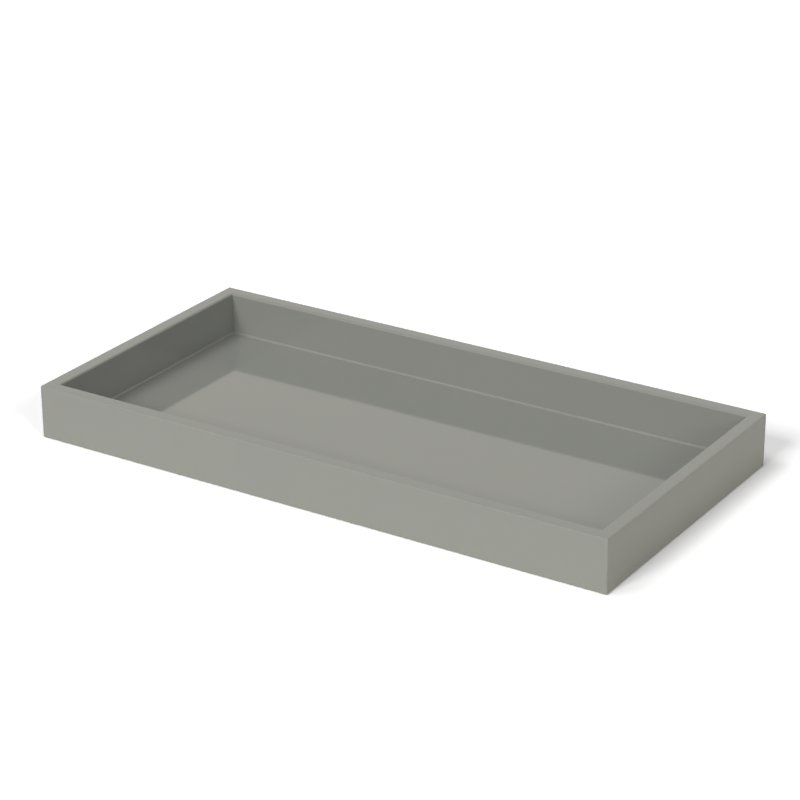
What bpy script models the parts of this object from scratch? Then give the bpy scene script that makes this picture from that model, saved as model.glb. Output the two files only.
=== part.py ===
"""Rectangular lacquered tray: four mitred wall boards round a base panel let in from below.

Units are metres. +X runs along the length, +Z is up, and the origin is the middle of the
rectangle that the tray covers on the surface it stands on.
"""

import math

import bmesh
import bpy
from mathutils import Matrix, Vector

# Outside sizes
LENGTH = 0.400
WIDTH = 0.200
HEIGHT = 0.035  # from the table to the rim
FOOT_CLEARANCE = 0.0004  # foot of the walls above the table, held off by the pads

# Wall boards
BOARD = 0.009
LIP = 0.004  # thickness that the rebate leaves beside the base
EDGE_ROUND = 0.0008  # outer rim edges and upright outer corners
INNER_ROUND = 0.0015  # inner rim edges, which fingers meet
FOOT_EASE = 0.0005
GLUE_LINE = 0.0003  # between the boards and round the base

# Base panel
BASE_BOARD = 0.005
BASE_CORNER = 0.0012
BASE_EASE = 0.0003

# Felt pads stuck under the base
PAD_DIAMETER = 0.012
PAD_THICKNESS = 0.0012
PAD_INSET = 0.013  # pad centre to the inner faces of the nearest walls
PAD_EASE = 0.0003
ADHESIVE = 0.0003

# Loose tongues across the mitres
TONGUE_THICKNESS = 0.0025
TONGUE_WIDTH = 0.007
TONGUE_BELOW_RIM = 0.006
TONGUE_ABOVE_LEDGE = 0.002
TONGUE_EASE = 0.0003
TONGUE_FIT = 0.0002  # clearance on every side of a tongue

# Headless pins through the base into the wall ledges
PIN_DIAMETER = 0.0008
PIN_LENGTH = 0.015
PIN_TIP = 0.0010  # length of the cone
PIN_POINT = 0.00016  # diameter left at the end of the cone
PIN_CHAMFER = 0.0001  # round the struck end
PIN_SET = 0.0005  # struck ends above the base underside
PIN_FIT = 0.00015
PIN_END_MARGIN = 0.040  # outer corner to the first pin
PINS_ALONG_LENGTH = 4
PINS_ALONG_WIDTH = 2

# Concave filler bead where the walls meet the tray floor
BEAD_RADIUS = 0.0015
BEAD_FIT = 0.0003
BEAD_TOE = 0.00015  # thickness left at the two thin edges

# Fineness of the rounds
ROUND_STEPS = 4  # even, so that a mitre meets the middle of a corner's round
EASE_STEPS = 2
ARC_STEPS = 6
PIN_SIDES = 12
PAD_SIDES = 40

# Heights and half sizes that follow from the above
BASE_UNDERSIDE = PAD_THICKNESS + ADHESIVE
FLOOR_Z = BASE_UNDERSIDE + BASE_BOARD
LEDGE_Z = FLOOR_Z + GLUE_LINE
HALF_X = LENGTH / 2
HALF_Y = WIDTH / 2
LEDGE = BOARD - LIP

SAME_PLACE = 1e-6  # two lengths nearer than this are one
SQUARE_EDGE = math.radians(60)  # faces that turn more than this meet in an unrounded edge
SMOOTH_BELOW = math.radians(35)

# Outward direction of each wall
WALLS = {
    "front": Vector((0, -1, 0)),
    "back": Vector((0, 1, 0)),
    "left": Vector((-1, 0, 0)),
    "right": Vector((1, 0, 0)),
}

# Signs of X and Y at each corner, in order round the tray
CORNERS = {
    "front_left": (-1, -1),
    "front_right": (1, -1),
    "back_right": (1, 1),
    "back_left": (-1, 1),
}

# Linear colour, roughness and metallic value of each finish
FINISHES = {
    "grey_gloss_lacquer": ((0.251, 0.251, 0.223), 0.18, 0.0),
    "raw_fibreboard": ((0.42, 0.30, 0.19), 0.85, 0.0),
    "birch_plywood": ((0.60, 0.45, 0.28), 0.60, 0.0),
    "bright_steel": ((0.62, 0.61, 0.59), 0.30, 1.0),
    "charcoal_felt": ((0.045, 0.045, 0.048), 0.95, 0.0),
}


def clear_scene():
    for obj in list(bpy.data.objects):
        bpy.data.objects.remove(obj, do_unlink=True)


def make_finishes():
    for name, (color, roughness, metallic) in FINISHES.items():
        made = bpy.data.materials.new(name)
        made.use_nodes = True
        shader = made.node_tree.nodes["Principled BSDF"]
        shader.inputs["Base Color"].default_value = (*color, 1.0)
        shader.inputs["Roughness"].default_value = roughness
        shader.inputs["Metallic"].default_value = metallic
        made.diffuse_color = (*color, 1.0)


def mesh_from(bm, name, finish):
    """Turns a bmesh into a named mesh with its finish, smooth but for its real edges."""
    bmesh.ops.recalc_face_normals(bm, faces=bm.faces)
    mesh = bpy.data.meshes.new(name)
    bm.to_mesh(mesh)
    bm.free()
    mesh.materials.append(bpy.data.materials[finish])
    mesh.shade_smooth()
    mesh.set_sharp_from_angle(angle=SMOOTH_BELOW)
    return mesh


def place(name, mesh, location=(0, 0, 0), turn_z=0.0):
    obj = bpy.data.objects.new(name, mesh)
    obj.location = location
    obj.rotation_euler = (0, 0, turn_z)
    bpy.context.scene.collection.objects.link(obj)
    return obj


def cut(target, cutter_bm, name):
    """Subtracts a cutter, which shows only as a wire and never in a render."""
    cutter = place(name, mesh_from(cutter_bm, name, "raw_fibreboard"))
    cutter.hide_render = True
    cutter.display_type = "WIRE"
    boolean = target.modifiers.new(name, "BOOLEAN")
    boolean.operation = "DIFFERENCE"
    boolean.solver = "EXACT"
    boolean.object = cutter


def add_box(bm, size, center, turn_z=0.0):
    matrix = Matrix.Translation(center) @ Matrix.Rotation(turn_z, 4, "Z")
    bmesh.ops.create_cube(bm, size=1, matrix=matrix @ Matrix.Diagonal((*size, 1)))


def add_bore(bm, point, low, high):
    """Adds the cutter of one pin bore between two heights."""
    radius = PIN_DIAMETER / 2 + PIN_FIT
    bmesh.ops.create_cone(
        bm,
        cap_ends=True,
        segments=PIN_SIDES,
        radius1=radius,
        radius2=radius,
        depth=high - low,
        matrix=Matrix.Translation((point.x, point.y, (low + high) / 2)),
    )


def round_edges(bm, edges, radius, steps):
    bmesh.ops.bevel(
        bm,
        geom=edges,
        offset=radius,
        offset_type="OFFSET",
        affect="EDGES",
        segments=steps,
        profile=0.5,
        material=-1,
        clamp_overlap=True,
    )


def near(value, target):
    return abs(value - target) < SAME_PLACE


def upright(edge):
    first, second = edge.verts
    return near(first.co.x, second.co.x) and near(first.co.y, second.co.y)


def level_face(bm, sign):
    """The face of a plain box that looks up (sign 1) or down (sign -1)."""
    return max(bm.faces, key=lambda face: face.normal.z * sign)


def square_loop(bm, z, outer):
    """The unrounded level edges at height z on the outer or the inner side of the walls."""

    def on_loop(co):
        depth = min(HALF_X - abs(co.x), HALF_Y - abs(co.y))
        return near(co.z, z) and (depth < LIP / 2) == outer

    return [
        edge
        for edge in bm.edges
        if all(on_loop(vert.co) for vert in edge.verts)
        and edge.calc_face_angle(0.0) > SQUARE_EDGE
    ]


def frame_ring():
    """The walls before they are cut at the mitres, one ring with the rebate for the base."""
    bm = bmesh.new()
    size = (LENGTH, WIDTH, HEIGHT - FOOT_CLEARANCE)
    add_box(bm, size, (0, 0, (HEIGHT + FOOT_CLEARANCE) / 2))
    bm.normal_update()
    top, bottom = level_face(bm, 1), level_face(bm, -1)
    bmesh.ops.inset_region(bm, faces=[top], thickness=BOARD, use_even_offset=True)
    bmesh.ops.inset_region(bm, faces=[bottom], thickness=LIP, use_even_offset=True)
    (ledge,) = bmesh.ops.extrude_discrete_faces(bm, faces=[bottom])["faces"]
    bmesh.ops.translate(bm, vec=(0, 0, LEDGE_Z - FOOT_CLEARANCE), verts=ledge.verts)
    bmesh.ops.inset_region(bm, faces=[ledge], thickness=LEDGE, use_even_offset=True)
    inner_edges = list(top.edges) + list(ledge.edges)
    bmesh.ops.delete(bm, geom=[top, ledge], context="FACES_ONLY")
    bmesh.ops.bridge_loops(bm, edges=inner_edges)

    outer_corners = [
        edge for edge in bm.edges if upright(edge) and near(abs(edge.verts[0].co.x), HALF_X)
    ]
    outer_rim = square_loop(bm, HEIGHT, outer=True)
    round_edges(bm, outer_corners + outer_rim, EDGE_ROUND, ROUND_STEPS)
    round_edges(bm, square_loop(bm, HEIGHT, outer=False), INNER_ROUND, ROUND_STEPS)
    round_edges(bm, square_loop(bm, FOOT_CLEARANCE, outer=True), FOOT_EASE, EASE_STEPS)
    return bm


def slice_off(bm, point, away):
    """Removes what lies beyond a plane and returns the edges of the cut."""
    made = bmesh.ops.bisect_plane(
        bm,
        geom=bm.verts[:] + bm.edges[:] + bm.faces[:],
        dist=SAME_PLACE,
        plane_co=point,
        plane_no=away,
        clear_outer=True,
    )
    return [item for item in made["geom_cut"] if isinstance(item, bmesh.types.BMEdge)]


def along_wall(outward):
    return Vector((-outward.y, outward.x, 0))


def half_size(direction):
    """Half the tray's size along a level direction that is parallel to an axis."""
    return abs(direction.x) * HALF_X + abs(direction.y) * HALF_Y


def wall_board(ring, outward):
    """One wall: the ring cut by the mitre planes at its two ends, half a glue line back."""
    bm = ring.copy()
    along = along_wall(outward)
    slice_off(bm, Vector(), -outward)
    for end in (-1, 1):
        corner = along * end * half_size(along) + outward * half_size(outward)
        away = (along * end - outward).normalized()
        cut_edges = slice_off(bm, corner - away * GLUE_LINE / 2, away)
        bmesh.ops.holes_fill(bm, edges=cut_edges, sides=0)
    return bm


def tongue_span():
    """Lowest and highest point of a tongue."""
    return LEDGE_Z + TONGUE_ABOVE_LEDGE, HEIGHT - TONGUE_BELOW_RIM


def tongue_seat(signs):
    """Centre and turn of a corner's tongue, with as much board inside its slot as outside."""
    from_inner_corner = (BOARD * math.sqrt(2) - TONGUE_WIDTH / 2 - TONGUE_FIT) / 2
    inset = BOARD - from_inner_corner / math.sqrt(2)
    low, high = tongue_span()
    center = Vector((signs[0] * (HALF_X - inset), signs[1] * (HALF_Y - inset), (low + high) / 2))
    return center, math.atan2(signs[1], signs[0])


def pin_points(outward):
    """Where a wall's pins stand: evenly along the middle line of its ledge."""
    along = along_wall(outward)
    count = PINS_ALONG_LENGTH if abs(along.x) > abs(along.y) else PINS_ALONG_WIDTH
    reach = half_size(along) - PIN_END_MARGIN
    middle = outward * (half_size(outward) - BOARD + LEDGE / 2)
    return [middle + along * reach * (2 * i / (count - 1) - 1) for i in range(count)]


def all_pin_points():
    return [point for outward in WALLS.values() for point in pin_points(outward)]


def turned(profile, sides):
    """A closed body turned about Z from (radius, height) points that start and end on the axis."""
    bm = bmesh.new()
    verts = [bm.verts.new((radius, 0, height)) for radius, height in profile]
    edges = [bm.edges.new(pair) for pair in zip(verts, verts[1:])]
    bmesh.ops.spin(
        bm,
        geom=verts + edges,
        cent=(0, 0, 0),
        axis=(0, 0, 1),
        angle=math.tau,
        steps=sides,
        use_merge=True,
    )
    bmesh.ops.remove_doubles(bm, verts=bm.verts, dist=SAME_PLACE)
    return bm


def pin():
    """A headless pin: flat struck end below, blunt cone above."""
    radius = PIN_DIAMETER / 2
    profile = [
        (0, 0),
        (radius - PIN_CHAMFER, 0),
        (radius, PIN_CHAMFER),
        (radius, PIN_LENGTH - PIN_TIP),
        (PIN_POINT / 2, PIN_LENGTH),
        (0, PIN_LENGTH),
    ]
    return turned(profile, PIN_SIDES)


def pad():
    """A felt disc with its two edges pressed round."""
    radius = PAD_DIAMETER / 2
    profile = [
        (0, 0),
        (radius - PAD_EASE, 0),
        (radius, PAD_EASE),
        (radius, PAD_THICKNESS - PAD_EASE),
        (radius - PAD_EASE, PAD_THICKNESS),
        (0, PAD_THICKNESS),
    ]
    return turned(profile, PAD_SIDES)


def tongue():
    """A loose tongue, its thickness along X and its width, which crosses the mitre, along Y."""
    low, high = tongue_span()
    bm = bmesh.new()
    add_box(bm, (TONGUE_THICKNESS, TONGUE_WIDTH, high - low), (0, 0, 0))
    round_edges(bm, bm.edges[:], TONGUE_EASE, steps=1)
    return bm


def base_panel():
    """The base, a glue line smaller all round than the rebate, its corners and edges eased."""
    shrink = 2 * (LIP + GLUE_LINE)
    size = (LENGTH - shrink, WIDTH - shrink, BASE_BOARD)
    bm = bmesh.new()
    add_box(bm, size, (0, 0, BASE_UNDERSIDE + BASE_BOARD / 2))
    round_edges(bm, [edge for edge in bm.edges if upright(edge)], BASE_CORNER, ROUND_STEPS)
    level_edges = [edge for edge in bm.edges if not upright(edge)]
    round_edges(bm, level_edges, BASE_EASE, steps=1)
    return bm


def bead_section():
    """The bead's outline as (distance from the wall, height over the floor), hollow side an arc."""
    toe = BEAD_FIT + BEAD_TOE
    reach = BEAD_FIT + BEAD_RADIUS
    arc_radius = reach - toe
    section = [(BEAD_FIT, BEAD_FIT), (reach, BEAD_FIT)]
    for step in range(ARC_STEPS + 1):
        angle = math.pi / 2 * step / ARC_STEPS
        away = reach - arc_radius * math.sin(angle)
        up = reach - arc_radius * math.cos(angle)
        section.append((away, up))
    section.append((BEAD_FIT, reach))
    return section


def filler_bead():
    """A ring of concave section: a rectangle inside the walls, extruded round the outline."""
    bm = bmesh.new()
    verts = [bm.verts.new((sign_x, sign_y, 0)) for sign_x, sign_y in CORNERS.values()]
    loop = [bm.edges.new(pair) for pair in zip(verts, verts[1:] + verts[:1])]
    section = bead_section()
    move_bead_loop(verts, *section[0])
    for away, up in section[1:] + section[:1]:
        made = bmesh.ops.extrude_edge_only(bm, edges=loop)["geom"]
        verts = [item for item in made if isinstance(item, bmesh.types.BMVert)]
        loop = [item for item in made if isinstance(item, bmesh.types.BMEdge)]
        move_bead_loop(verts, away, up)
    bmesh.ops.remove_doubles(bm, verts=bm.verts, dist=SAME_PLACE)
    return bm


def move_bead_loop(verts, away, up):
    for vert in verts:
        vert.co.x = math.copysign(HALF_X - BOARD - away, vert.co.x)
        vert.co.y = math.copysign(HALF_Y - BOARD - away, vert.co.y)
        vert.co.z = FLOOR_Z + up


def wall_joinery(outward):
    """What is cut from one wall: a stopped tongue slot at each end and blind pin bores."""
    low, high = tongue_span()
    slot = Vector((TONGUE_THICKNESS, TONGUE_WIDTH, high - low)) + Vector([2 * TONGUE_FIT] * 3)
    bm = bmesh.new()
    for signs in CORNERS.values():
        center, turn = tongue_seat(signs)
        if center.dot(outward) > 0:
            add_box(bm, slot, center, turn)
    bore_top = BASE_UNDERSIDE + PIN_SET + PIN_LENGTH + PIN_FIT
    for point in pin_points(outward):
        add_bore(bm, point, FLOOR_Z, bore_top)
    return bm


def base_bores():
    """What is cut from the base: a bore right through it at every pin."""
    bm = bmesh.new()
    for point in all_pin_points():
        add_bore(bm, point, FOOT_CLEARANCE, LEDGE_Z)
    return bm


def build_walls():
    ring = frame_ring()
    for side, outward in WALLS.items():
        name = "wall_" + side
        wall = place(name, mesh_from(wall_board(ring, outward), name, "grey_gloss_lacquer"))
        cut(wall, wall_joinery(outward), "joinery_" + side)
    ring.free()


def build_base():
    mesh = mesh_from(base_panel(), "base_panel", "grey_gloss_lacquer")
    cut(place("base_panel", mesh), base_bores(), "base_bores")


def build_bead():
    place("filler_bead", mesh_from(filler_bead(), "filler_bead", "grey_gloss_lacquer"))


def build_tongues():
    mesh = mesh_from(tongue(), "corner_tongue", "birch_plywood")
    for corner, signs in CORNERS.items():
        center, turn = tongue_seat(signs)
        place("corner_tongue_" + corner, mesh, center, turn)


def build_pins():
    mesh = mesh_from(pin(), "base_pin", "bright_steel")
    for number, point in enumerate(all_pin_points(), 1):
        place(f"base_pin_{number:02d}", mesh, (point.x, point.y, BASE_UNDERSIDE + PIN_SET))


def build_pads():
    mesh = mesh_from(pad(), "foot_pad", "charcoal_felt")
    half_x = HALF_X - BOARD - PAD_INSET
    half_y = HALF_Y - BOARD - PAD_INSET
    for corner, (sign_x, sign_y) in CORNERS.items():
        place("foot_pad_" + corner, mesh, (sign_x * half_x, sign_y * half_y, 0))


def main():
    clear_scene()
    make_finishes()
    build_walls()
    build_base()
    build_bead()
    build_tongues()
    build_pins()
    build_pads()


main()
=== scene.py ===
"""Looks of the rectangular lacquered tray: its finer pieces, finishes, studio and camera.

Units are metres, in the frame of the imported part: +X along the length, +Y towards the back wall,
+Z up, and the origin in the middle of the rectangle that the tray covers on the paper.
"""

import logging
import math
from collections import defaultdict
from dataclasses import dataclass
from enum import Enum

import bmesh
import bpy
from mathutils import Matrix, Vector, noise

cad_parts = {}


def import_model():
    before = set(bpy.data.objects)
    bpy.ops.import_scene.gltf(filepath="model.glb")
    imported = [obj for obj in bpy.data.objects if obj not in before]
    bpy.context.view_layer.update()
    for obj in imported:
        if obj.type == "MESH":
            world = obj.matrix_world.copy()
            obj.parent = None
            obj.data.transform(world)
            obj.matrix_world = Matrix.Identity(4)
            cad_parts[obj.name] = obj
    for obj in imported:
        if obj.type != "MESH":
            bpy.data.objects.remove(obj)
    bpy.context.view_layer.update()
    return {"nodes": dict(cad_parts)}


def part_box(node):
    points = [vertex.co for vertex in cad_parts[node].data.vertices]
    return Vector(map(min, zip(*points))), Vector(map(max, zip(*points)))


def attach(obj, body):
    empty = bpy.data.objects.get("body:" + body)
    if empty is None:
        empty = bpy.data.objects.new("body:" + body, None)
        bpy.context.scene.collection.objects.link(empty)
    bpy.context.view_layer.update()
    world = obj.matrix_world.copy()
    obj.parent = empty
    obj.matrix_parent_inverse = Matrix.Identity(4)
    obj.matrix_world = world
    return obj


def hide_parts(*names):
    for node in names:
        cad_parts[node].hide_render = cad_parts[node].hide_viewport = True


LOG = logging.getLogger("tray")
MM = 0.001
SAME_PLACE = 1e-6  # two lengths nearer than this are one
BODY = "root"  # the tray's only body
CREASE = math.radians(40)  # faces that turn more than this against each other meet in a crease
SHARP = math.radians(60)  # edges that turn more than this are still to be eased


class Side(Enum):
    """A wall of the tray, with the direction that its outer face looks in."""

    FRONT = (0, -1)
    BACK = (0, 1)
    LEFT = (-1, 0)
    RIGHT = (1, 0)

    @property
    def outward(self) -> Vector:
        """Unit vector out of the tray through this wall."""
        return Vector((*self.value, 0))

    @property
    def along(self) -> Vector:
        """Unit vector along this wall, a quarter turn on from outward."""
        return Vector((-self.value[1], self.value[0], 0))

    @property
    def label(self) -> str:
        """The side's part of a piece name."""
        return self.name.lower()


class Corner(Enum):
    """A corner of the tray, with the signs of its X and Y, in order round the tray."""

    FRONT_LEFT = (-1, -1)
    FRONT_RIGHT = (1, -1)
    BACK_RIGHT = (1, 1)
    BACK_LEFT = (-1, 1)

    @property
    def label(self) -> str:
        """The corner's part of a piece name."""
        return self.name.lower()


class Slot(Enum):
    """Names of the record's material slots for the scene's own pieces; the script does not use
    them.
    """

    BOARD = "lacquered_board"
    FILLER = "lacquered_filler"
    FELT = "felt"


def linear(hex_color: str) -> tuple[float, float, float, float]:
    """Turns an sRGB hex colour into the linear colour that a shader takes.

    Args:
        hex_color: The colour as "#rrggbb".

    Returns:
        Linear red, green and blue, and an alpha of 1.
    """
    channels = [int(hex_color[i : i + 2], 16) / 255 for i in (1, 3, 5)]
    lin = [c / 12.92 if c <= 0.04045 else ((c + 0.055) / 1.055) ** 2.4 for c in channels]
    return (lin[0], lin[1], lin[2], 1.0)


def add_node(
    tree: bpy.types.NodeTree,
    kind: str,
    inputs: dict[str | int, object] | None = None,
    **settings: object,
) -> bpy.types.Node:
    """Adds a node with its settings, its input values and its links.

    A Mix node's inputs share their names and so go by number: 0 is the share of the second, 2 and
    3 are levels, 6 and 7 are tones. The level comes out at output 0 and the tone at output 2.

    Args:
        tree: The node tree that gets the node.
        kind: Blender's name of the node type.
        inputs: Value, or socket to link from, of each named or numbered input.
        **settings: Properties of the node itself.

    Returns:
        The new node.
    """
    node = tree.nodes.new(kind)
    for name, value in settings.items():
        setattr(node, name, value)
    for key, value in (inputs or {}).items():
        if isinstance(value, bpy.types.NodeSocket):
            tree.links.new(value, node.inputs[key])
        else:
            node.inputs[key].default_value = value
    return node


def per_metre(size_mm: float) -> float:
    """Texture scale on metre coordinates that gives features of this size."""
    return 1.0 / (size_mm * MM)


def new_tree(name: str) -> tuple[bpy.types.Material, bpy.types.NodeTree]:
    """Makes a material whose node tree is empty.

    Args:
        name: The finish's name.

    Returns:
        The material and its node tree.
    """
    material = bpy.data.materials.new(name)
    material.use_nodes = True
    material.node_tree.nodes.clear()
    return material, material.node_tree


@dataclass(frozen=True)
class GlossLacquer:
    """Two-pack polyurethane lacquer over sealed fibreboard, sprayed and left as it flowed out.

    It gives a mirror-like skin over an even warm grey: the walls stand mirrored in the floor, and
    the fine flow texture of spraying, called orange peel, makes those mirror lines tremble.
    """

    name: str = "sprayed_gloss_polyurethane_lacquer"
    tone: str = "#8b8c87"
    cloud_tone: str = "#8d8f88"  # where the coat is a touch thicker
    cloud_mm: float = 60.0
    peel_mm: float = 3.0
    peel_height_mm: float = 0.002
    haze_mm: float = 25.0  # size of the patches where the coat flowed out a little less
    roughness_low: float = 0.05
    roughness_high: float = 0.08
    nib_spacing_mm: float = 46.0  # nibs are specks of dust that settled in the wet coat
    nib_radius_mm: float = 0.45
    nib_height_mm: float = 0.1
    ior: float = 1.57

    def make(self) -> bpy.types.Material:
        """Builds the material.

        Returns:
            The lacquer's material.
        """
        material, tree = new_tree(self.name)
        point = add_node(tree, "ShaderNodeTexCoord").outputs["Object"]
        cloud = add_node(
            tree,
            "ShaderNodeTexNoise",
            {"Vector": point, "Scale": per_metre(self.cloud_mm), "Detail": 3.0},
        )
        color = add_node(
            tree,
            "ShaderNodeMix",
            {0: cloud.outputs["Fac"], 6: linear(self.tone), 7: linear(self.cloud_tone)},
            data_type="RGBA",
        )
        haze = add_node(
            tree,
            "ShaderNodeTexNoise",
            {"Vector": point, "Scale": per_metre(self.haze_mm), "Detail": 2.0},
        )
        roughness = add_node(
            tree,
            "ShaderNodeMapRange",
            {
                "Value": haze.outputs["Fac"],
                "To Min": self.roughness_low,
                "To Max": self.roughness_high,
            },
        )
        peel = add_node(
            tree,
            "ShaderNodeTexNoise",
            {"Vector": point, "Scale": per_metre(self.peel_mm), "Detail": 1.0},
        )
        peel_bump = add_node(
            tree,
            "ShaderNodeBump",
            {"Height": peel.outputs["Fac"], "Distance": self.peel_height_mm * MM, "Strength": 1.0},
        )
        nibs = add_node(
            tree,
            "ShaderNodeTexVoronoi",
            {"Vector": point, "Scale": per_metre(self.nib_spacing_mm)},
            feature="F1",
        )
        nib_height = add_node(
            tree,
            "ShaderNodeMapRange",
            {
                "Value": nibs.outputs["Distance"],
                "From Min": 0.0,
                "From Max": self.nib_radius_mm / self.nib_spacing_mm,
                "To Min": 1.0,
                "To Max": 0.0,
            },
            interpolation_type="SMOOTHSTEP",
        )
        nib_bump = add_node(
            tree,
            "ShaderNodeBump",
            {
                "Height": nib_height.outputs["Result"],
                "Distance": self.nib_height_mm * MM,
                "Strength": 1.0,
                "Normal": peel_bump.outputs["Normal"],
            },
        )
        shader = add_node(
            tree,
            "ShaderNodeBsdfPrincipled",
            {
                "Base Color": color.outputs[2],
                "Roughness": roughness.outputs["Result"],
                "IOR": self.ior,
                "Normal": nib_bump.outputs["Normal"],
            },
        )
        add_node(tree, "ShaderNodeOutputMaterial", {"Surface": shader.outputs["BSDF"]})
        return material


# The same lacquer where overspray settles on it in the inner corners and dulls it: the bead shows
# a soft pale band in place of a sharp highlight. Its darker tone is painted shade for that corner.
DULLED_AND_SHADED_LACQUER = GlossLacquer(
    name="lacquer_dulled_with_painted_shade", tone="#868882", roughness_low=0.26, roughness_high=0.34
)


@dataclass(frozen=True)
class BirchPlywood:
    """Three-ply birch, sawn into loose tongues and left raw.

    It shows pale and darker plies across the thickness, and fine fibres along the tongue.
    """

    name: str = "raw_birch_plywood"
    face_tone: str = "#d8bd8e"
    core_tone: str = "#b98f5c"
    ply_mm: float = 0.83
    fibre_mm: float = 0.25  # a few fibres together, because one alone is too fine to show
    fibre_length_mm: float = 6.0
    fibre_height_mm: float = 0.02
    fibre_strength: float = 0.6
    roughness: float = 0.7

    def make(self) -> bpy.types.Material:
        """Builds the material.

        Returns:
            The plywood's material.
        """
        material, tree = new_tree(self.name)
        point = add_node(tree, "ShaderNodeTexCoord").outputs["Object"]
        # each tongue crosses its mitre, so that its thickness runs along the corner's diagonal
        folded = add_node(tree, "ShaderNodeVectorMath", {0: point}, operation="ABSOLUTE")
        across = add_node(
            tree,
            "ShaderNodeVectorMath",
            {0: folded.outputs["Vector"], 1: (math.sqrt(0.5), math.sqrt(0.5), 0.0)},
            operation="DOT_PRODUCT",
        )
        span = 2 * self.ply_mm * MM  # way from the palest to the darkest wood
        plies = add_node(
            tree,
            "ShaderNodeMath",
            {0: across.outputs["Value"], 1: span},
            operation="PINGPONG",
        )
        ply_mix = add_node(
            tree,
            "ShaderNodeMapRange",
            {"Value": plies.outputs["Value"], "From Max": span},
            interpolation_type="SMOOTHERSTEP",
        )
        stretched = add_node(
            tree,
            "ShaderNodeMapping",
            {
                "Vector": point,
                "Scale": (
                    per_metre(self.fibre_mm),
                    per_metre(self.fibre_mm),
                    per_metre(self.fibre_length_mm),
                ),
            },
        )
        fibre = add_node(
            tree, "ShaderNodeTexNoise", {"Vector": stretched.outputs["Vector"], "Scale": 1.0}
        )
        mixed = add_node(
            tree,
            "ShaderNodeMath",
            {0: ply_mix.outputs["Result"], 1: fibre.outputs["Fac"]},
            operation="MULTIPLY",
        )
        color = add_node(
            tree,
            "ShaderNodeMix",
            {0: mixed.outputs["Value"], 6: linear(self.face_tone), 7: linear(self.core_tone)},
            data_type="RGBA",
        )
        bump = add_node(
            tree,
            "ShaderNodeBump",
            {
                "Height": fibre.outputs["Fac"],
                "Distance": self.fibre_height_mm * MM,
                "Strength": self.fibre_strength,
            },
        )
        shader = add_node(
            tree,
            "ShaderNodeBsdfPrincipled",
            {
                "Base Color": color.outputs[2],
                "Roughness": self.roughness,
                "Normal": bump.outputs["Normal"],
            },
        )
        add_node(tree, "ShaderNodeOutputMaterial", {"Surface": shader.outputs["BSDF"]})
        return material


@dataclass(frozen=True)
class DrawnSteelWire:
    """Bright steel wire, drawn through a die and cut to pins.

    The die leaves fine lines along the pin, which stretch the highlight across it.
    """

    name: str = "bright_drawn_steel_wire"
    tone: str = "#cac8c3"
    line_mm: float = 0.05  # drawing lines are finer, and this is as fine as shows close up
    line_length_mm: float = 4.0
    roughness_low: float = 0.22
    roughness_high: float = 0.38

    def make(self) -> bpy.types.Material:
        """Builds the material.

        Returns:
            The wire's material.
        """
        material, tree = new_tree(self.name)
        point = add_node(tree, "ShaderNodeTexCoord").outputs["Object"]
        stretched = add_node(
            tree,
            "ShaderNodeMapping",
            {
                "Vector": point,
                "Scale": (
                    per_metre(self.line_mm),
                    per_metre(self.line_mm),
                    per_metre(self.line_length_mm),
                ),
            },
        )
        lines = add_node(
            tree, "ShaderNodeTexNoise", {"Vector": stretched.outputs["Vector"], "Scale": 1.0}
        )
        roughness = add_node(
            tree,
            "ShaderNodeMapRange",
            {
                "Value": lines.outputs["Fac"],
                "To Min": self.roughness_low,
                "To Max": self.roughness_high,
            },
        )
        shader = add_node(
            tree,
            "ShaderNodeBsdfPrincipled",
            {
                "Base Color": linear(self.tone),
                "Metallic": 1.0,
                "Roughness": roughness.outputs["Result"],
            },
        )
        add_node(tree, "ShaderNodeOutputMaterial", {"Surface": shader.outputs["BSDF"]})
        return material


@dataclass(frozen=True)
class PressedFelt:
    """Charcoal wool felt, needled and pressed to a sheet, then punched out.

    Matted fibres mottle its tone and scatter light at the rim, so that it looks soft and dry.
    """

    name: str = "pressed_charcoal_felt"
    tone: str = "#37373a"
    fibre_tone: str = "#5a5a5c"
    fibre_mm: float = 0.18  # a tangle of fibres, because one alone is too fine to show
    fibre_height_mm: float = 0.12
    fibre_strength: float = 0.9
    matting: float = 1.5  # how far the noise bends the fibres over each other
    tuft_mm: float = 1.4
    roughness: float = 0.95
    sheen: float = 0.4

    def make(self) -> bpy.types.Material:
        """Builds the material.

        Returns:
            The felt's material.
        """
        material, tree = new_tree(self.name)
        point = add_node(tree, "ShaderNodeTexCoord").outputs["Object"]
        fibres = add_node(
            tree,
            "ShaderNodeTexNoise",
            {
                "Vector": point,
                "Scale": per_metre(self.fibre_mm),
                "Detail": 4.0,
                "Distortion": self.matting,
            },
        )
        tufts = add_node(
            tree, "ShaderNodeTexNoise", {"Vector": point, "Scale": per_metre(self.tuft_mm)}
        )
        mottle = add_node(
            tree,
            "ShaderNodeMath",
            {0: fibres.outputs["Fac"], 1: tufts.outputs["Fac"]},
            operation="MULTIPLY",
        )
        color = add_node(
            tree,
            "ShaderNodeMix",
            {0: mottle.outputs["Value"], 6: linear(self.tone), 7: linear(self.fibre_tone)},
            data_type="RGBA",
        )
        bump = add_node(
            tree,
            "ShaderNodeBump",
            {
                "Height": fibres.outputs["Fac"],
                "Distance": self.fibre_height_mm * MM,
                "Strength": self.fibre_strength,
            },
        )
        shader = add_node(
            tree,
            "ShaderNodeBsdfPrincipled",
            {
                "Base Color": color.outputs[2],
                "Roughness": self.roughness,
                "Sheen Weight": self.sheen,
                "Normal": bump.outputs["Normal"],
            },
        )
        add_node(tree, "ShaderNodeOutputMaterial", {"Surface": shader.outputs["BSDF"]})
        return material


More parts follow.
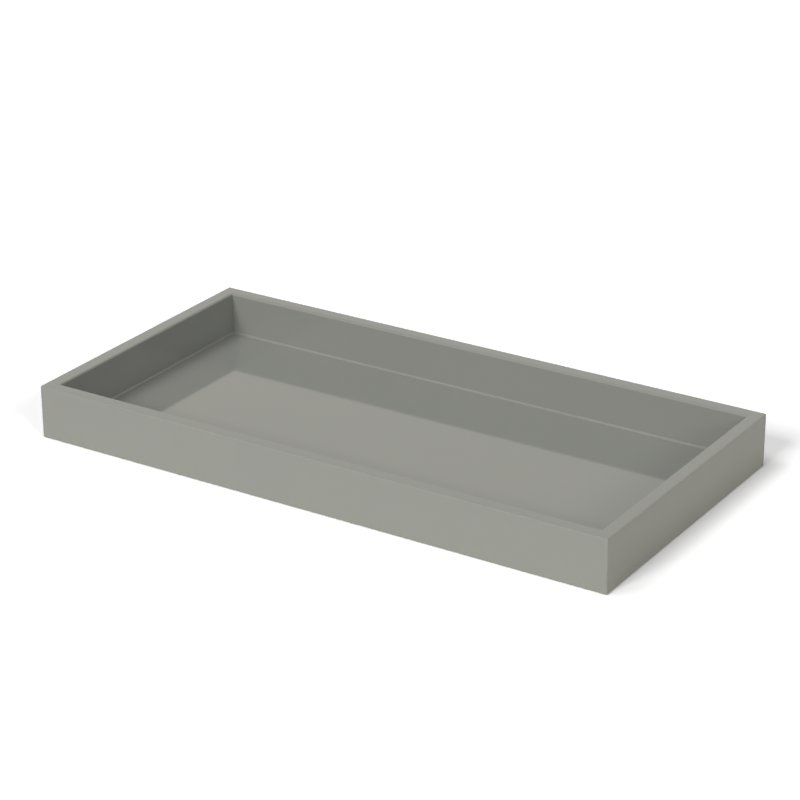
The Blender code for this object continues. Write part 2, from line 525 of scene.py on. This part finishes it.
@dataclass(frozen=True)
class SeamlessPaper:
    """White background paper, a matt sheet that keeps the tray's soft shadow.

    The camera sees it exposed to white, and the lacquer mirrors it a little darker and warmer.
    The light that it throws back on the tray stays that of plain paper.
    """

    name: str = "white_background_paper"
    tone: str = "#f2f2f0"
    mirrored_tone: str = "#e8e2d4"
    exposure: float = 1.28  # how bright the camera sees paper that full light falls on
    shaded_share: float = 0.5  # share of the mirrored paper that shows light and shadow
    even_level: float = 0.9  # level of the rest, which is evenly bright

    def make(self) -> bpy.types.Material:
        """Builds the material.

        Returns:
            The paper's material.
        """
        material, tree = new_tree(self.name)
        path = add_node(tree, "ShaderNodeLightPath")
        plain = add_node(tree, "ShaderNodeBsdfDiffuse", {"Color": linear(self.tone)})
        shaded = add_node(tree, "ShaderNodeBsdfDiffuse", {"Color": linear(self.mirrored_tone)})
        even = add_node(
            tree,
            "ShaderNodeEmission",
            {"Color": linear(self.mirrored_tone), "Strength": self.even_level},
        )
        mirrored = add_node(
            tree,
            "ShaderNodeMixShader",
            {0: self.shaded_share, 1: even.outputs["Emission"], 2: shaded.outputs["BSDF"]},
        )
        seen = add_node(tree, "ShaderNodeBsdfDiffuse", {"Color": (*[self.exposure] * 3, 1.0)})
        unseen = add_node(
            tree,
            "ShaderNodeMixShader",
            {
                0: path.outputs["Is Glossy Ray"],
                1: plain.outputs["BSDF"],
                2: mirrored.outputs["Shader"],
            },
        )
        either = add_node(
            tree,
            "ShaderNodeMixShader",
            {
                0: path.outputs["Is Camera Ray"],
                1: unseen.outputs["Shader"],
                2: seen.outputs["BSDF"],
            },
        )
        add_node(tree, "ShaderNodeOutputMaterial", {"Surface": either.outputs["Shader"]})
        return material


@dataclass(frozen=True)
class TraySizes:
    """Sizes that the pieces share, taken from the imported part."""

    half_length: float
    half_width: float
    foot: float  # height of the walls' lower edge
    rim: float  # height of their upper edge
    board: float  # thickness of the walls
    ledge: float  # height of the rebate's ledge, over the base
    floor: float  # height of the tray floor
    base_half_length: float
    glue_line: float = 0.3 * MM

    @classmethod
    def from_frame(cls) -> "TraySizes":
        """Reads the sizes off the CAD nodes.

        Returns:
            The shared sizes.
        """
        wall_low, wall_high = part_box("wall_front")
        _, base_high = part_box("base_panel")
        right_low, right_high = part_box("wall_right")
        return cls(
            half_length=right_high.x,
            half_width=-wall_low.y,
            foot=wall_low.z,
            rim=wall_high.z,
            board=right_high.x - right_low.x,
            ledge=base_high.z + cls.glue_line,
            floor=base_high.z,
            base_half_length=base_high.x,
        )

    @property
    def lip(self) -> float:
        """Thickness of wall that the rebate leaves beside the base."""
        return self.half_length - self.base_half_length - self.glue_line

    def half(self, direction: Vector) -> float:
        """Half the tray's size along a level direction that is parallel to an axis."""
        return abs(direction.x) * self.half_length + abs(direction.y) * self.half_width


def piece_from(
    bm: bmesh.types.BMesh, name: str, material: bpy.types.Material
) -> bpy.types.Object:
    """Turns a bmesh into a smooth piece that rides on the tray.

    Args:
        bm: The finished shape, which is freed.
        name: The piece's name.
        material: Its finish.

    Returns:
        The new object, at the origin.
    """
    mesh = bpy.data.meshes.new(name)
    bm.to_mesh(mesh)
    bm.free()
    mesh.materials.append(material)
    mesh.shade_smooth()
    obj = bpy.data.objects.new(name, mesh)
    bpy.context.scene.collection.objects.link(obj)
    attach(obj, BODY)
    return obj


def share_normals(pieces: list[bpy.types.Object]) -> None:
    """Gives faces that meet at one point one shading normal there, also across pieces.

    Large faces count for more, so that flats stay flat up to their rounds, and a round runs on
    over the joint between two pieces as the coat of lacquer does.

    Args:
        pieces: The pieces that are shaded together.
    """
    smooth = math.cos(CREASE)
    meeting = defaultdict(list)
    for piece in pieces:
        mesh = piece.data
        for face in mesh.polygons:
            for index in face.vertices:
                place = tuple(round(c / SAME_PLACE) for c in mesh.vertices[index].co)
                meeting[place].append((face.normal.copy(), face.area))
    for piece in pieces:
        mesh = piece.data
        normals = [Vector((0, 0, 1))] * len(mesh.loops)
        for face in mesh.polygons:
            for corner, index in zip(face.loop_indices, face.vertices):
                place = tuple(round(c / SAME_PLACE) for c in mesh.vertices[index].co)
                near = [n * area for n, area in meeting[place] if n.dot(face.normal) > smooth]
                normals[corner] = sum(near, Vector()).normalized()
        mesh.normals_split_custom_set(normals)


def round_edges(
    bm: bmesh.types.BMesh, edges: list[bmesh.types.BMEdge], radius: float, steps: int
) -> None:
    """Rounds edges of a shape.

    Args:
        bm: The shape.
        edges: The edges to round.
        radius: Radius of the round.
        steps: Facets in the round.
    """
    bmesh.ops.bevel(
        bm,
        geom=edges,
        offset=radius,
        offset_type="OFFSET",
        affect="EDGES",
        segments=steps,
        profile=0.5,
        material=-1,
        clamp_overlap=True,
    )


def is_upright(edge: bmesh.types.BMEdge) -> bool:
    """Whether an edge runs straight up."""
    first, second = edge.verts
    return (first.co - second.co).xy.length < SAME_PLACE


@dataclass
class WallBoards:
    """Four boards, mitred at the corners, rebated below for the base and lacquered as one."""

    sizes: TraySizes
    material: bpy.types.Material
    edge_round: float = 0.8 * MM  # on the outer rim and the upright corners
    inner_round: float = 1.5 * MM  # on the inner rim, where fingers meet it
    foot_ease: float = 0.5 * MM  # on the outer edge of the foot
    round_steps: int = 10
    ease_steps: int = 4

    def build(self) -> list[bpy.types.Object]:
        """Makes the boards as one ring, cuts it at the mitres and stands them for the CAD walls.

        Returns:
            The four boards.
        """
        ring = self._ring()
        boards = []
        for side in Side:
            board = piece_from(
                self._board(ring, side), f"lacquered_wall_{side.label}", self.material
            )
            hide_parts(f"wall_{side.label}")
            boards.append(board)
        ring.free()
        share_normals(boards)
        return boards

    def _ring(self) -> bmesh.types.BMesh:
        """Makes the ring of walls with its rebate and rounds.

        Returns:
            The ring, before the mitres.
        """
        s = self.sizes
        bm = bmesh.new()
        size = Matrix.Diagonal((2 * s.half_length, 2 * s.half_width, s.rim - s.foot, 1))
        middle = Matrix.Translation((0, 0, (s.rim + s.foot) / 2))
        bmesh.ops.create_cube(bm, size=1, matrix=middle @ size)
        bm.normal_update()
        top = max(bm.faces, key=lambda face: face.normal.z)
        bottom = min(bm.faces, key=lambda face: face.normal.z)
        bmesh.ops.inset_region(bm, faces=[top], thickness=s.board, use_even_offset=True)
        bmesh.ops.inset_region(bm, faces=[bottom], thickness=s.lip, use_even_offset=True)
        (ledge,) = bmesh.ops.extrude_discrete_faces(bm, faces=[bottom])["faces"]
        bmesh.ops.translate(bm, vec=(0, 0, s.ledge - s.foot), verts=ledge.verts)
        bmesh.ops.inset_region(bm, faces=[ledge], thickness=s.board - s.lip, use_even_offset=True)
        inner = list(top.edges) + list(ledge.edges)
        bmesh.ops.delete(bm, geom=[top, ledge], context="FACES_ONLY")
        bmesh.ops.bridge_loops(bm, edges=inner)

        corners = [
            edge
            for edge in bm.edges
            if is_upright(edge) and self._depth(edge.verts[0].co) < SAME_PLACE
        ]
        outer_rim = self._level_edges(bm, s.rim, 0.0)
        round_edges(bm, corners + outer_rim, self.edge_round, self.round_steps)
        round_edges(bm, self._level_edges(bm, s.rim, s.board), self.inner_round, self.round_steps)
        round_edges(bm, self._foot_edges(bm), self.foot_ease, self.ease_steps)
        return bm

    def _depth(self, co: Vector) -> float:
        """Distance of a point from the nearest outer face of the ring."""
        return min(self.sizes.half_length - abs(co.x), self.sizes.half_width - abs(co.y))

    def _level_edges(
        self, bm: bmesh.types.BMesh, height: float, depth: float
    ) -> list[bmesh.types.BMEdge]:
        """Finds the edges that run round the ring at a height.

        Args:
            bm: The ring.
            height: Their height.
            depth: Their distance from the outer faces.

        Returns:
            The edges whose two ends lie there.
        """
        return [
            edge
            for edge in bm.edges
            if all(
                abs(vert.co.z - height) < SAME_PLACE
                and abs(self._depth(vert.co) - depth) < SAME_PLACE
                for vert in edge.verts
            )
        ]

    def _foot_edges(self, bm: bmesh.types.BMesh) -> list[bmesh.types.BMEdge]:
        """Finds the outer edges of the ring's foot, also where they run round its corners.

        Args:
            bm: The ring, with its corners rounded.

        Returns:
            The edges between the outer faces and the foot.
        """
        return [
            edge
            for edge in bm.edges
            if all(
                abs(vert.co.z - self.sizes.foot) < SAME_PLACE
                and self._depth(vert.co) < self.sizes.lip / 2
                for vert in edge.verts
            )
            and edge.calc_face_angle(0.0) > SHARP
        ]

    def _board(self, ring: bmesh.types.BMesh, side: Side) -> bmesh.types.BMesh:
        """Cuts one board out of the ring.

        Args:
            ring: The ring of walls.
            side: The board's side of the tray.

        Returns:
            The board, closed at its two mitres.
        """
        bm = ring.copy()
        self._slice_off(bm, Vector(), -side.outward)
        for end in (-1, 1):
            corner = side.along * end * self.sizes.half(side.along)
            corner += side.outward * self.sizes.half(side.outward)
            cut_edges = self._slice_off(bm, corner, (side.along * end - side.outward).normalized())
            bmesh.ops.holes_fill(bm, edges=cut_edges, sides=0)
        bmesh.ops.recalc_face_normals(bm, faces=bm.faces)
        return bm

    @staticmethod
    def _slice_off(
        bm: bmesh.types.BMesh, point: Vector, away: Vector
    ) -> list[bmesh.types.BMEdge]:
        """Removes what lies beyond a plane.

        Args:
            bm: The shape to cut.
            point: A point of the plane.
            away: Direction of the part that goes.

        Returns:
            The edges of the cut.
        """
        made = bmesh.ops.bisect_plane(
            bm,
            geom=bm.verts[:] + bm.edges[:] + bm.faces[:],
            dist=SAME_PLACE,
            plane_co=point,
            plane_no=away,
            clear_outer=True,
        )
        return [item for item in made["geom_cut"] if isinstance(item, bmesh.types.BMEdge)]


@dataclass
class FillerBead:
    """Concave bead of filler under the lacquer, where the walls meet the tray floor."""

    sizes: TraySizes
    material: bpy.types.Material
    radius: float = 1.2 * MM  # of the hollow, a little finer than the CAD bead's
    arc_steps: int = 10

    def build(self) -> list[bpy.types.Object]:
        """Draws the bead's section round the tray and stands it for the CAD bead.

        Returns:
            The bead, as a list of one.
        """
        bm = bmesh.new()
        inner = [
            bm.verts.new((x * self._inner_half(0), y * self._inner_half(1), 0))
            for x, y in (corner.value for corner in Corner)
        ]
        loop = [bm.edges.new(pair) for pair in zip(inner, inner[1:] + inner[:1])]
        section = self._section()
        self._move(inner, *section[0])
        for away, up in section[1:] + section[:1]:
            made = bmesh.ops.extrude_edge_only(bm, edges=loop)["geom"]
            loop = [item for item in made if isinstance(item, bmesh.types.BMEdge)]
            self._move([item for item in made if isinstance(item, bmesh.types.BMVert)], away, up)
        bmesh.ops.remove_doubles(bm, verts=bm.verts, dist=SAME_PLACE)
        bmesh.ops.recalc_face_normals(bm, faces=bm.faces)
        bead = piece_from(bm, "lacquered_filler_bead", self.material)
        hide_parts("filler_bead")
        share_normals([bead])
        return [bead]

    def _inner_half(self, axis: int) -> float:
        """Half the clear size between the walls along X (0) or Y (1)."""
        return (self.sizes.half_length, self.sizes.half_width)[axis] - self.sizes.board

    def _section(self) -> list[tuple[float, float]]:
        """The bead's outline.

        Returns:
            Distance from the wall and height over the floor of each point, the hollow an arc.
        """
        arc = []
        for step in range(self.arc_steps + 1):
            angle = math.pi / 2 * step / self.arc_steps
            arc.append((self.radius * (1 - math.sin(angle)), self.radius * (1 - math.cos(angle))))
        return [(0.0, 0.0), *arc]

    def _move(self, verts: list[bmesh.types.BMVert], away: float, up: float) -> None:
        """Puts a loop of four corner points in its place.

        Args:
            verts: The four points.
            away: Their distance from the walls.
            up: Their height over the tray floor.
        """
        for vert in verts:
            vert.co.x = math.copysign(self._inner_half(0) - away, vert.co.x)
            vert.co.y = math.copysign(self._inner_half(1) - away, vert.co.y)
            vert.co.z = self.sizes.floor + up


@dataclass
class FootPads:
    """Four discs of pressed felt stuck under the base."""

    material: bpy.types.Material
    sides: int = 64
    rings: int = 9
    edge_round: float = 0.35 * MM
    edge_steps: int = 3
    fuzz: float = 0.05 * MM  # depth of the ruffles
    tuft: float = 0.9 * MM  # and their width

    def build(self) -> list[bpy.types.Object]:
        """Makes the pads where the CAD pads are.

        Returns:
            The four pads.
        """
        pads = []
        for corner in Corner:
            node = f"foot_pad_{corner.label}"
            low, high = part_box(node)
            pad = piece_from(
                self._disc(low, high), f"felt_pad_{corner.label}", self.material
            )
            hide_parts(node)
            pads.append(pad)
        return pads

    def _disc(self, low: Vector, high: Vector) -> bmesh.types.BMesh:
        """Turns one pad and ruffles its free faces.

        Args:
            low: Lowest corner of the CAD pad's box.
            high: Its highest corner.

        Returns:
            The pad in its place.
        """
        radius, thickness = (high.x - low.x) / 2, high.z - low.z
        flat = radius - self.edge_round
        profile = [(flat * i / self.rings, 0.0) for i in range(self.rings + 1)]
        for step in range(1, self.edge_steps + 1):
            turn = math.radians(90 * step / self.edge_steps)
            across, up = math.sin(turn), 1 - math.cos(turn)
            profile.append((flat + self.edge_round * across, self.edge_round * up))
        profile += [(r, thickness - z) for r, z in reversed(profile)]
        bm = bmesh.new()
        verts = [bm.verts.new((r, 0, z)) for r, z in profile]
        edges = [bm.edges.new(pair) for pair in zip(verts, verts[1:])]
        bmesh.ops.spin(
            bm,
            geom=verts + edges,
            cent=(0, 0, 0),
            axis=(0, 0, 1),
            angle=math.tau,
            steps=self.sides,
            use_merge=True,
        )
        bmesh.ops.remove_doubles(bm, verts=bm.verts, dist=SAME_PLACE)
        bmesh.ops.recalc_face_normals(bm, faces=bm.faces)
        middle = ((low.x + high.x) / 2, (low.y + high.y) / 2, low.z)
        bmesh.ops.translate(bm, vec=middle, verts=bm.verts)
        bm.normal_update()
        for vert in bm.verts:
            # noise runs from -1 to 1, and the felt only sinks, so that it stays in the CAD pad
            depth = self.fuzz * (0.5 + 0.5 * noise.noise(vert.co / self.tuft))
            vert.co -= vert.normal * depth
        return bm


@dataclass
class DressedNodes:
    """CAD nodes whose shape is right as it is and which only get their finish."""

    nodes: list[str]
    material: bpy.types.Material

    def build(self) -> list[bpy.types.Object]:
        """Gives each node the finish.

        Returns:
            The nodes' objects.
        """
        dressed = [bpy.data.objects[name] for name in self.nodes]
        for obj in dressed:
            for material_slot in obj.material_slots:
                material_slot.link = "OBJECT"
                material_slot.material = self.material
        return dressed


@dataclass(frozen=True)
class Softbox:
    """A large square lamp that looks at the tray."""

    name: str
    azimuth: float  # degrees from the front (-Y), counted towards the right (+X)
    elevation: float  # degrees over the paper
    distance: float
    size: float
    level: float  # share of full white that it gives a white sheet facing it

    def build(self, target: Vector) -> None:
        """Puts the lamp up.

        Args:
            target: The point that it looks at.
        """
        lamp = bpy.data.lights.new(self.name, "AREA")
        lamp.shape = "SQUARE"
        lamp.size = self.size
        # a lamp of P watts lights a facing white sheet to P / (pi * distance) ** 2
        lamp.energy = self.level * math.pi**2 * self.distance**2
        obj = bpy.data.objects.new(self.name, lamp)
        az, el = math.radians(self.azimuth), math.radians(self.elevation)
        away = Vector((math.sin(az) * math.cos(el), -math.cos(az) * math.cos(el), math.sin(el)))
        obj.location = target + away * self.distance
        obj.rotation_euler = away.to_track_quat("Z", "Y").to_euler()
        obj.visible_camera = False
        obj.visible_glossy = False
        bpy.context.scene.collection.objects.link(obj)


@dataclass(frozen=True)
class PhotoCamera:
    """The camera that the photograph's straight edges give."""

    focal_mm: float = 121.26
    sensor_mm: float = 36.0
    yaw: float = 32.654
    pitch: float = 23.6
    roll: float = -0.261
    distance: float = 1.7356
    target: tuple[float, float, float] = (-0.04162, 0.06654, 0.0004)
    nearest: float = 0.05
    farthest: float = 50.0

    def build(self) -> None:
        """Sets the camera up and makes it the scene's own."""
        data = bpy.data.cameras.new("photo_camera")
        data.lens = self.focal_mm
        data.sensor_width = self.sensor_mm
        data.clip_start = self.nearest
        data.clip_end = self.farthest
        obj = bpy.data.objects.new("photo_camera", data)
        turn = Matrix.Rotation(math.radians(self.yaw), 4, "Z")
        turn @= Matrix.Rotation(math.radians(90 - self.pitch), 4, "X")
        turn @= Matrix.Rotation(math.radians(self.roll), 4, "Z")
        back = Matrix.Translation((0, 0, self.distance))
        obj.matrix_world = Matrix.Translation(self.target) @ turn @ back
        bpy.context.scene.collection.objects.link(obj)
        bpy.context.scene.camera = obj


@dataclass
class Studio:
    """White paper, soft lamps and a white surround."""

    paper: SeamlessPaper
    paper_size: float = 12.0
    surround_tone: str = "#ffffff"
    surround_level: float = 0.2  # of the surround as a light
    mirrored_tone: str = "#fffbf1"  # the gloss shows the studio's walls as a warmer white
    mirrored_level: float = 0.9
    ceiling_from: float = 40.0  # elevation in degrees at which the mirrored surround starts to dim
    ceiling_full: float = 58.0  # and at which it has the level of the ceiling
    ceiling_level: float = 0.15
    lamps: tuple[Softbox, ...] = (
        Softbox("softbox_front", -5.0, 32.0, 25.0, 7.5, 0.62),
        Softbox("softbox_right", 66.0, 29.0, 25.0, 7.5, 0.265),
        Softbox("softbox_high_left", -52.0, 63.0, 25.0, 11.0, 0.26),
    )

    def build(self) -> None:
        """Lays the paper and sets the lamps, the surround and the view transform."""
        self._lay_paper()
        for lamp in self.lamps:
            lamp.build(Vector())
        self._make_surround()
        bpy.context.scene.view_settings.view_transform = "Standard"

    def _lay_paper(self) -> None:
        """Lays the sheet of paper that the tray stands on."""
        bm = bmesh.new()
        bmesh.ops.create_grid(bm, x_segments=1, y_segments=1, size=self.paper_size / 2)
        mesh = bpy.data.meshes.new("studio_paper")
        bm.to_mesh(mesh)
        bm.free()
        mesh.materials.append(self.paper.make())
        paper = bpy.data.objects.new("studio_paper", mesh)
        bpy.context.scene.collection.objects.link(paper)

    def _make_surround(self) -> None:
        """Makes the white surround.

        The camera sees it at full white. The gloss mirrors it a little warmer and with a dim
        ceiling, and as a light it stays low.
        """
        world = bpy.data.worlds.new("white_surround")
        world.use_nodes = True
        tree = world.node_tree
        tree.nodes.clear()
        path = add_node(tree, "ShaderNodeLightPath")
        direction = add_node(tree, "ShaderNodeTexCoord").outputs["Generated"]
        height = add_node(tree, "ShaderNodeSeparateXYZ", {"Vector": direction}).outputs["Z"]
        mirrored = add_node(
            tree,
            "ShaderNodeMapRange",
            {
                "Value": height,
                "From Min": math.sin(math.radians(self.ceiling_from)),
                "From Max": math.sin(math.radians(self.ceiling_full)),
                "To Min": self.mirrored_level,
                "To Max": self.ceiling_level,
            },
            interpolation_type="SMOOTHSTEP",
        )
        unseen = add_node(
            tree,
            "ShaderNodeMix",
            {
                0: path.outputs["Is Glossy Ray"],
                2: self.surround_level,
                3: mirrored.outputs["Result"],
            },
            data_type="FLOAT",
        )
        strength = add_node(
            tree,
            "ShaderNodeMix",
            {0: path.outputs["Is Camera Ray"], 2: unseen.outputs[0], 3: 1.0},
            data_type="FLOAT",
        )
        tone = add_node(
            tree,
            "ShaderNodeMix",
            {
                0: path.outputs["Is Glossy Ray"],
                6: linear(self.surround_tone),
                7: linear(self.mirrored_tone),
            },
            data_type="RGBA",
        )
        light = add_node(
            tree,
            "ShaderNodeBackground",
            {"Color": tone.outputs[2], "Strength": strength.outputs[0]},
        )
        add_node(tree, "ShaderNodeOutputWorld", {"Surface": light.outputs["Background"]})
        bpy.context.scene.world = world


def main() -> None:
    """Loads the frame, builds and dresses every piece, and sets up the studio."""
    logging.basicConfig(level=logging.INFO, format="%(name)s: %(message)s")
    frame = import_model()
    sizes = TraySizes.from_frame()
    nodes = sorted(frame["nodes"])
    lacquer = GlossLacquer().make()
    assemblies = {
        "wall boards": WallBoards(sizes, lacquer),
        "base panel": DressedNodes(["base_panel"], lacquer),
        # the bead's lacquer is a little darker: painted shade where the walls meet the floor
        "filler bead": FillerBead(sizes, DULLED_AND_SHADED_LACQUER.make()),
        "corner tongues": DressedNodes(
            [name for name in nodes if name.startswith("corner_tongue")], BirchPlywood().make()
        ),
        "base pins": DressedNodes(
            [name for name in nodes if name.startswith("base_pin")], DrawnSteelWire().make()
        ),
        "foot pads": FootPads(PressedFelt().make()),
    }
    for title, assembly in assemblies.items():
        for piece in assembly.build():
            LOG.info("%s: %s", title, piece.name)
    Studio(SeamlessPaper()).build()
    PhotoCamera().build()


if __name__ == "__main__":
    main()
